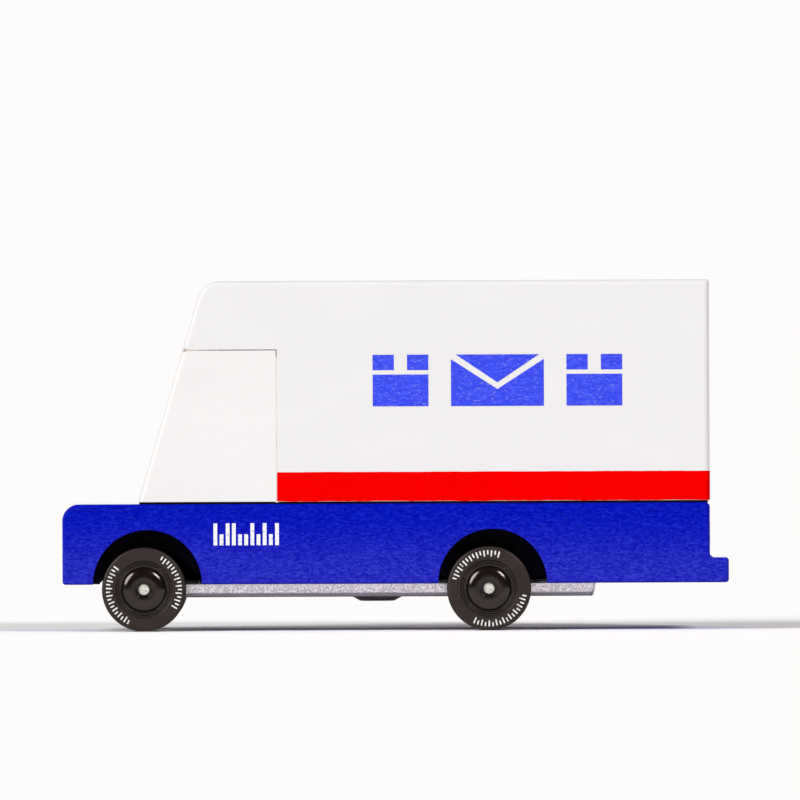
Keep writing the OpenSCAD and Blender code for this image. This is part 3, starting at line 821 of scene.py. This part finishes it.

# %% The near-black bed under both blocks, painted shade in the joint
BED_SET_BACK = 0.25 * MM
BED_BITE = 0.05 * MM
# Painted shade: a near-black sheet under both blocks, set back from their sides, stands in for the shadow in
# the joint.
PAINTED_SHADE_BLACK = moulded("painted_shade_black", (0.0015, 0.0008, 0.0025), (0.004, 0.002, 0.006),
                    1500, (0.6, 0.75), 0.004 * MM,
                    specular=0.05)
painted_shade_bed = prism("painted_shade_bed", rounded_rect(screen_x(deck_z) + BED_SET_BACK, rear_x - BED_SET_BACK,
                                          BED_SET_BACK - side_y, side_y - BED_SET_BACK, CORNER_R),
                 deck_z - BED_BITE, foot_z + BED_BITE, along="Z")
carve(painted_shade_bed, dowel_holes("cargo_dowels", 0, deck_z - MM, foot_z + MM)
      + dowel_holes("cab_dowels", 1, deck_z - MM, foot_z + MM))
place_piece(painted_shade_bed, PAINTED_SHADE_BLACK, None, "truck")
print("glue:", round(BED_T / MM, 2), "mm thick")

# %% [markdown]
# ## The red stripe
#
# The stripe is a film of paint, masked off along both sides and round the tail. Paint creeps under the tape
# along the grain, so the film's upper edge wanders by a hundredth of a millimetre. The lower edge is rougher,
# because there the paint broke over the sanded edge of the block.

# %% The stripe as a thin band
_, stripe_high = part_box("cargo_stripe")
FILM = stripe_high.y - side_y
STRIPE_STEP = 0.25 * MM
TAPE_CREEP = 0.012 * MM
BREAK_CREEP = 0.022 * MM
stripe_foot_z = foot_z + 0.6 * JOIN_R


def creep(distance, most, seed):
    """A small wander along an edge of the film."""
    waves = ((1.7, 0.35), (3.9, 0.6), (9.1, 1.0), (23.0, 0.8))
    return most * sum(size * math.sin(distance / MM / turn * 2 * math.pi + seed * (i + 1))
                      for i, (turn, size) in enumerate(waves))


def stripe_route():
    """The stripe's path in plan: forward to back on the left, round the tail, and forward on the right."""
    round_tail = rounded([(seam_x, -side_y, 0), (rear_x, -side_y, CORNER_R), (rear_x, side_y, CORNER_R),
                          (seam_x, side_y, 0)])
    route = []
    for start, end in zip(round_tail, round_tail[1:]):
        steps = max(1, round((end - start).length / STRIPE_STEP))
        route += [start.lerp(end, i / steps) for i in range(steps)]
    return route + [round_tail[-1]]


def stripe_band():
    route = stripe_route()
    mesh = bmesh.new()
    walked = 0
    columns = []
    for index, point in enumerate(route):
        ahead = route[min(index + 1, len(route) - 1)] - route[max(index - 1, 0)]
        out = Vector((ahead.y, -ahead.x)).normalized() * FILM
        walked += (point - route[index - 1]).length if index else 0
        low = stripe_foot_z + creep(walked, BREAK_CREEP, 0.7)
        high = stripe_high.z + creep(walked, TAPE_CREEP, 2.9)
        column = [mesh.verts.new((p.x, p.y, z)) for p, z in (
            (point, low), (point + out, low), (point + out, high), (point, high))]
        columns.append(column)
    for before, after in zip(columns, columns[1:]):
        for i in range(4):
            mesh.faces.new((before[i - 1], before[i], after[i], after[i - 1]))
    mesh.faces.new(columns[0])
    mesh.faces.new(columns[-1])
    return new_piece("cargo_stripe_film", mesh)


stripe = stripe_band()
place_piece(stripe, RED_PAINT, "red_paint", "truck", "cargo_stripe")
print("stripe:", len(stripe.data.vertices), "vertices,", round(FILM / MM, 3), "mm thick")

# %% [markdown]
# ## Printed marks
#
# The parcel and envelope signs, the fleet bars and the lamps are pad-printed. The frame already holds them as
# thin films in the right shape, so they keep their meshes and get ink that lets the grain show through.

# %% Inks for the printed films
inks = {
    "left_cargo_print": BLUE_INK, "right_cargo_print": BLUE_INK,
    "left_fleet_mark": WHITE_INK, "right_fleet_mark": WHITE_INK,
    "headlight_print": WHITE_INK, "tail_light_print": RED_INK,
}
for name, ink in inks.items():
    dress_node(name, ink)
print("printed films:", len(inks))

# %% [markdown]
# ## Turned and moulded round pieces
#
# A hub, a tyre and an axle are all round, so each is a profile spun about its axis. The profile is a list of
# radius and distance pairs, in the order a lathe tool would follow them.

# %% The lathe
SPIN_STEPS = 128


def lathe(name, profile, sharp=math.radians(35)):
    """Spins (radius, distance) points about Z. A radius of 0 closes the surface on the axis."""
    mesh = bmesh.new()
    rings = []
    for point in profile:
        count = 1 if point.x < 1e-7 else SPIN_STEPS
        rings.append([mesh.verts.new((point.x * math.cos(2 * math.pi * i / SPIN_STEPS),
                                      point.x * math.sin(2 * math.pi * i / SPIN_STEPS), point.y))
                      for i in range(count)])
    for first, second in zip(rings, rings[1:] + rings[:1]):
        for i in range(SPIN_STEPS):
            corners = [first[i % len(first)], first[(i + 1) % len(first)],
                       second[(i + 1) % len(second)], second[i % len(second)]]
            unique = list(dict.fromkeys(corners))
            if len(unique) > 2:
                mesh.faces.new(unique)
    piece = new_piece(name, mesh)
    for polygon in piece.data.polygons:
        polygon.use_smooth = True
    piece.data.set_sharp_from_angle(angle=sharp)
    return piece


def wheel_place(place, side):
    """Stands a piece drawn up Z on the wheel's inner face, pointing outwards."""
    turn = Matrix.Rotation(-side * math.pi / 2, 4, "X")
    return Matrix.Translation((place.x, side * wheel_in_y, place.z)) @ turn


# %% [markdown]
# ### The hub
#
# The hub is a black moulding with a polished face inside a flat ring. The face falls away from the middle in a
# quarter of an ellipse, so each soft light shows on it as a short streak that bends round the hub. Two fine
# grooves mark the ring, and a small well leaves room for the end of the pin.

# %% The hub's sizes
_, mark_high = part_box("front_right_tyre_marks")
hub_low, hub_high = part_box("front_right_hub")
axle_low, axle_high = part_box("front_axle")
wheel_in_y = tyre_low.y
wheel_w = mark_high.y - tyre_low.y
hub_r = (hub_high.z - hub_low.z) / 2
axle_r = (axle_high.z - axle_low.z) / 2
face_w = wheel_w - 0.05 * MM
ring_w = wheel_w - 0.32 * MM
WELL_R = axle_r + 0.43 * MM
WELL_D = 1.2 * MM
FLAT_R = 2.0 * MM
FACE_R = 3.56 * MM
FACE_DROP = 0.78 * MM
RING_LINE_R = 4.07 * MM
LINE_W = 0.07 * MM
LINE_D = 0.10 * MM
groove_w = face_w - FACE_DROP
HOLLOW_R = 2 * MM
HOLLOW_D = 2.2 * MM
DRUM_WALL = 0.75 * MM
FACE_STEPS = 14
print("wheel:", round(wheel_r / MM, 2), "mm radius,", round(wheel_w / MM, 2), "mm wide")


# %% The hub's profile
def falling_face():
    """Points of the quarter ellipse, from the flat middle out to the groove."""
    turns = [math.pi / 2 * step / FACE_STEPS for step in range(FACE_STEPS + 1)]
    return [Vector((FLAT_R + (FACE_R - FLAT_R) * math.sin(t),
                    face_w - FACE_DROP * (1 - math.cos(t)))) for t in turns]


def hub_profile():
    outer = rounded([
        (FACE_R + 0.08 * MM, groove_w, 0), (FACE_R + 0.14 * MM, ring_w, 0.06 * MM),
        (RING_LINE_R - LINE_W, ring_w, 0.03 * MM), (RING_LINE_R, ring_w - LINE_D, 0.02 * MM),
        (RING_LINE_R + LINE_W, ring_w, 0.03 * MM), (hub_r - 0.04 * MM, ring_w, 0.06 * MM),
        (hub_r - 0.02 * MM, ring_w - 0.2 * MM, 0), (hub_r, ring_w - 0.25 * MM, 0), (hub_r, 0, 0.1 * MM),
        (hub_r - DRUM_WALL, 0, 0.1 * MM), (hub_r - DRUM_WALL, HOLLOW_D, 0.2 * MM),
        (HOLLOW_R, HOLLOW_D, 0.2 * MM), (HOLLOW_R, 0, 0.15 * MM), (axle_r, 0, 0),
        (axle_r, face_w - WELL_D, 0),
        (WELL_R, face_w - WELL_D, 0.1 * MM), (WELL_R, face_w, 0.08 * MM), (FLAT_R - 0.2 * MM, face_w, 0),
    ])
    return outer + falling_face()


# %% [markdown]
# ### The tyre
#
# The tyre is matt rubber with a flat wall, a soft shoulder and a fine bead where it meets the hub. The wall is
# left in the plane of the printed dashes, which sit flush in it.

# %% The tyre's and the axle's profiles
SHOULDER_R = 0.4 * MM
wall_w = tyre_high.y - tyre_low.y


def tyre_profile():
    return rounded([
        (hub_r, 0.25 * MM, 0), (hub_r + 0.25 * MM, 0, 0.1 * MM), (wheel_r, 0, SHOULDER_R),
        (wheel_r, wall_w, SHOULDER_R), (hub_r + 0.22 * MM, wall_w, 0.08 * MM), (hub_r, wall_w - 0.22 * MM, 0),
    ])


def axle_profile(half):
    """A pin with slightly domed, chamfered ends, drawn about its middle."""
    crown = 0.06 * MM
    ends = rounded([
        (0, -half, 0), (axle_r * 0.6, -half + 0.2 * crown, 0), (axle_r, -half + crown, 0.12 * MM),
        (axle_r, half - crown, 0.12 * MM), (axle_r * 0.6, half - 0.2 * crown, 0), (0, half, 0),
    ])
    return ends


# %% Building the wheels and axles
axle_half = axle_high.y
for axle, place in zip(("front", "rear"), axle_places):
    body = f"{axle}_wheelset"
    pin = lathe(f"{axle}_axle_pin", axle_profile(axle_half))
    pin.matrix_world = Matrix.Translation(place) @ Matrix.Rotation(math.pi / 2, 4, "X")
    place_piece(pin, AXLE_STEEL, "axle_steel", body, f"{axle}_axle")
    for side, side_name in ((LEFT, "left"), (RIGHT, "right")):
        hub = lathe(f"{axle}_{side_name}_hub_moulding", hub_profile())
        hub.matrix_world = wheel_place(place, side)
        place_piece(hub, HUB_BLACK, "hub_black", body, f"{axle}_{side_name}_hub")
        tyre = lathe(f"{axle}_{side_name}_tyre_rubber", tyre_profile())
        tyre.matrix_world = wheel_place(place, side)
        place_piece(tyre, TYRE_RUBBER, "tyre_rubber", body, f"{axle}_{side_name}_tyre")
        dress_node(f"{axle}_{side_name}_tyre_marks", TYRE_INK)
    print(body, "built at X", round(place.x / MM, 2))

# %% [markdown]
# ## The base plate
#
# The plate is a silver moulding that lies in the recess and holds the axle sleeves from below. It has a thick
# flange, a thinner panel under it, a round boss, and a half-round housing under each axle. Flange and panel are
# one stack of outlines, so the mould's draft and small edge radii are in the mesh. The boss and housings are
# joined on, and then the sleeve channels and the screw seats are cut.

# %% The flange and the panel
PLATE_R = 1.6 * MM
PLATE_EDGE_R = 0.12 * MM
PANEL_EDGE_R = 0.45 * MM
FLANGE_T = 1.5 * MM
FLANGE_DRAFT = 0.24 * MM
TOP_CHAMFER = 0.42 * MM
PANEL_INSET = 0.35 * MM
PANEL_T = 0.65 * MM
FLOOR_INSET = 1.0 * MM
flange_z = under_z - FLANGE_T
panel_z = flange_z - PANEL_T
plate_y = plate_high.y

plate_edge = rounded([
    (FLOOR_INSET, recess_z, 0), (TOP_CHAMFER, recess_z, 0), (0, under_z - 0.1 * MM, 0.1 * MM),
    (FLANGE_DRAFT, flange_z, PLATE_EDGE_R),
    (PANEL_INSET, flange_z, 0.05 * MM), (PANEL_INSET, panel_z, PANEL_EDGE_R), (FLOOR_INSET, panel_z, 0),
])
base_plate = stack("base_plate_moulding", plate_low.x, plate_high.x, plate_y, PLATE_R, plate_edge)
print("plate edge:", len(plate_edge), "outlines")

# %% The boss, the housings and the cuts
BOSS_T = 0.8 * MM
BOSS_R = 4.2 * MM
BOSS_SLOPE = 1.5 * MM
BOSS_BEHIND = 37.1 * MM
HOUSING_WALL = 0.75 * MM
HOUSING_EDGE = 0.2 * MM
SINK = 0.3 * MM
HOUSING_SINK = 0.2 * MM
TROUGH_STEPS = 24
sleeve_r = recess_z - axle_places[0].z
housing_r = sleeve_r + HOUSING_WALL
housing_half = plate_y - PANEL_INSET - 0.15 * MM

boss = lathe("boss", rounded([
    (0, panel_z - BOSS_T, 0), (BOSS_R - BOSS_SLOPE, panel_z - BOSS_T, 0.3 * MM), (BOSS_R, panel_z, 0),
    (BOSS_R, panel_z + SINK, 0), (0, panel_z + SINK, 0),
]))
boss.data.transform(Matrix.Translation((axle_places[0].x + BOSS_BEHIND, 0, 0)))
housings = []
for place in axle_places:
    housing = lathe("housing", rounded([
        (0, -housing_half, 0), (housing_r, -housing_half, HOUSING_EDGE),
        (housing_r, housing_half, HOUSING_EDGE),
        (0, housing_half, 0),
    ]))
    housing.data.transform(Matrix.Translation(place) @ Matrix.Rotation(math.pi / 2, 4, "X"))
    carve(housing, [prism("over", rounded_rect(place.x - side_y, place.x + side_y, -side_y, side_y, 0),
                          recess_z - HOUSING_SINK, side_y, along="Z")])
    housings.append(housing)
carve(base_plate, [boss] + housings, "UNION")


def channel(place):
    """A trough for the sleeve: half round below and open to the top."""
    turns = [math.pi * (1 + step / TROUGH_STEPS) for step in range(TROUGH_STEPS + 1)]
    arc = [Vector((place.x + sleeve_r * math.cos(t), place.z + sleeve_r * math.sin(t))) for t in turns]
    top = [Vector((place.x + side * sleeve_r, side_y)) for side in (RIGHT, LEFT)]
    return prism("channel", arc + top, -side_y, side_y)


seats = [lathe("seat", [Vector(point) for point in (
    (0, panel_z - MM), (SCREW_HEAD_R + MM, panel_z - MM), (PILOT_R, panel_z + SCREW_HEAD_R - PILOT_R),
    (PILOT_R, side_y), (0, side_y))]) for _ in screw_xs]
for seat, x in zip(seats, screw_xs):
    seat.data.transform(Matrix.Translation((x, 0, 0)))
carve(base_plate, [channel(place) for place in axle_places] + seats)
base_plate.data.set_sharp_from_angle(angle=SHARP)
place_piece(base_plate, silver_plate(flange_z), "silver_plate", "truck", "base_plate")
print("base plate:", len(base_plate.data.polygons), "faces")

# %% [markdown]
# ## Screws, sleeves and dowels
#
# These come straight from the frame. They show only from below or when the blocks are taken apart, but each
# still gets its own finish.

# %% Finishes for the inner pieces
inner_finishes = {
    "plate_screws": SCREW_STEEL, "front_axle_sleeve": NYLON, "rear_axle_sleeve": NYLON,
    "cargo_dowels": BARE_BEECH, "cab_dowels": BARE_BEECH,
}
for name, finish in inner_finishes.items():
    dress_node(name, finish)
print("inner pieces:", len(inner_finishes))

# %% [markdown]
# ## Floor, light and camera
#
# The truck stands on a plain white floor. Two large soft lights in front of it, to the left and the right, give
# each hub its pair of highlights and throw a soft shadow backwards. The room is bright only low down behind the
# truck. It is dim in front and overhead, so the paint keeps its full colour.

# %% The floor
FLOOR_SIZE = 60


def flat_floor():
    mesh = bmesh.new()
    bmesh.ops.create_grid(mesh, x_segments=1, y_segments=1, size=FLOOR_SIZE / 2)
    floor = new_piece("floor", mesh)
    material, tree, shader, speckle = start_material("floor_white", SPECKLE, Scale=40.0)
    tree.links.new(mix_colours(tree, speckle.outputs["Cloud"], (0.982, 0.966, 0.958), (0.986, 0.970, 0.962)),
                   shader.inputs["Base Color"])
    shader.inputs["Roughness"].default_value = 0.9
    shader.inputs["Specular IOR Level"].default_value = 0.0
    floor.data.materials.append(material)
    return floor


floor = flat_floor()

# %% Soft lights
LEFT_KEY = (math.radians(-50), math.radians(28), 3.2, math.radians(34))
RIGHT_KEY = (math.radians(36), math.radians(33.5), 1.8, math.radians(18))


def sun(name, azimuth, elevation, strength, softness):
    """A soft distant light. Azimuth 0 shines along +Y, from in front of the left side."""
    data = bpy.data.lights.new(name, "SUN")
    data.energy = strength
    data.angle = softness
    light = bpy.data.objects.new(name, data)
    bpy.context.scene.collection.objects.link(light)
    source = Vector((math.sin(azimuth) * math.cos(elevation), -math.cos(azimuth) * math.cos(elevation),
                     math.sin(elevation)))
    light.rotation_mode = "QUATERNION"
    light.rotation_quaternion = source.to_track_quat("Z", "Y")
    return light


sun("key_left", *LEFT_KEY)
sun("key_right", *RIGHT_KEY)


# %% The room
ROOM_BEHIND_LOW = 0.98
ROOM_BEHIND_HIGH = 0.36
ROOM_FRONT = 0.04
ROOM_SEEN = (0.991, 0.974, 0.966)


def ramp(tree, value, from_low, from_high, to_low, to_high):
    """A soft change from one value to another."""
    node = add_node(tree, "ShaderNodeMapRange", interpolation_type="SMOOTHSTEP")
    tree.links.new(value, node.inputs["Value"])
    for label, number in (("From Min", from_low), ("From Max", from_high),
                          ("To Min", to_low), ("To Max", to_high)):
        node.inputs[label].default_value = number
    return node.outputs["Result"]


def bright_room():
    """The backdrop's white where the camera sees it, and the room's own light everywhere else."""
    world = bpy.data.worlds.new("studio")
    bpy.context.scene.world = world
    world.use_nodes = True
    tree = world.node_tree
    background = tree.nodes["Background"]
    place = add_node(tree, "ShaderNodeTexCoord")
    split = add_node(tree, "ShaderNodeSeparateXYZ")
    tree.links.new(place.outputs["Generated"], split.inputs[0])
    behind = ramp(tree, split.outputs["Z"], 0.08, 0.4, ROOM_BEHIND_LOW, ROOM_BEHIND_HIGH)
    backwards = ramp(tree, split.outputs["Y"], -0.2, 0.3, 0, 1)
    light = add_node(tree, "ShaderNodeMix", data_type="FLOAT")
    tree.links.new(backwards, light.inputs["Factor"])
    light.inputs[2].default_value = ROOM_FRONT
    tree.links.new(behind, light.inputs[3])
    path = add_node(tree, "ShaderNodeLightPath")
    grey = add_node(tree, "ShaderNodeCombineColor")
    for channel in grey.inputs:
        tree.links.new(light.outputs[0], channel)
    seen = mix_colours(tree, path.outputs["Is Camera Ray"], grey.outputs[0], ROOM_SEEN)
    tree.links.new(seen, background.inputs["Color"])


bright_room()
bpy.context.scene.view_settings.view_transform = "Standard"
bpy.context.scene.view_settings.look = "None"

# %% [markdown]
# The camera stands far back with a long lens, nearly as high as the roof, so the side reads almost as a
# drawing. Its distance and the width it should see fix the focal length.

# %% The camera
CAMERA_DISTANCE = 3.5
VIEW_WIDTH = 127.2 * MM
CAMERA_ASIDE = 0.80 * MM
CAMERA_HEIGHT = 54 * MM
AIM_HEIGHT = 36.7 * MM
CAMERA_ROLL = math.radians(-0.235)
SENSOR_WIDTH = 36

camera_data = bpy.data.cameras.new("camera")
camera_data.sensor_width = SENSOR_WIDTH
camera_data.lens = SENSOR_WIDTH * CAMERA_DISTANCE / VIEW_WIDTH
camera_data.clip_start = 0.05
camera_data.clip_end = 100
camera = bpy.data.objects.new("camera", camera_data)
bpy.context.scene.collection.objects.link(camera)
aim = Vector((CAMERA_ASIDE, -side_y, AIM_HEIGHT))
camera.location = (CAMERA_ASIDE, -side_y - CAMERA_DISTANCE, CAMERA_HEIGHT)
camera.rotation_mode = "QUATERNION"
look = (aim - camera.location).to_track_quat("-Z", "Y")
camera.rotation_quaternion = look @ Matrix.Rotation(CAMERA_ROLL, 3, "Z").to_quaternion()
bpy.context.scene.camera = camera
print("lens:", round(camera_data.lens), "mm")
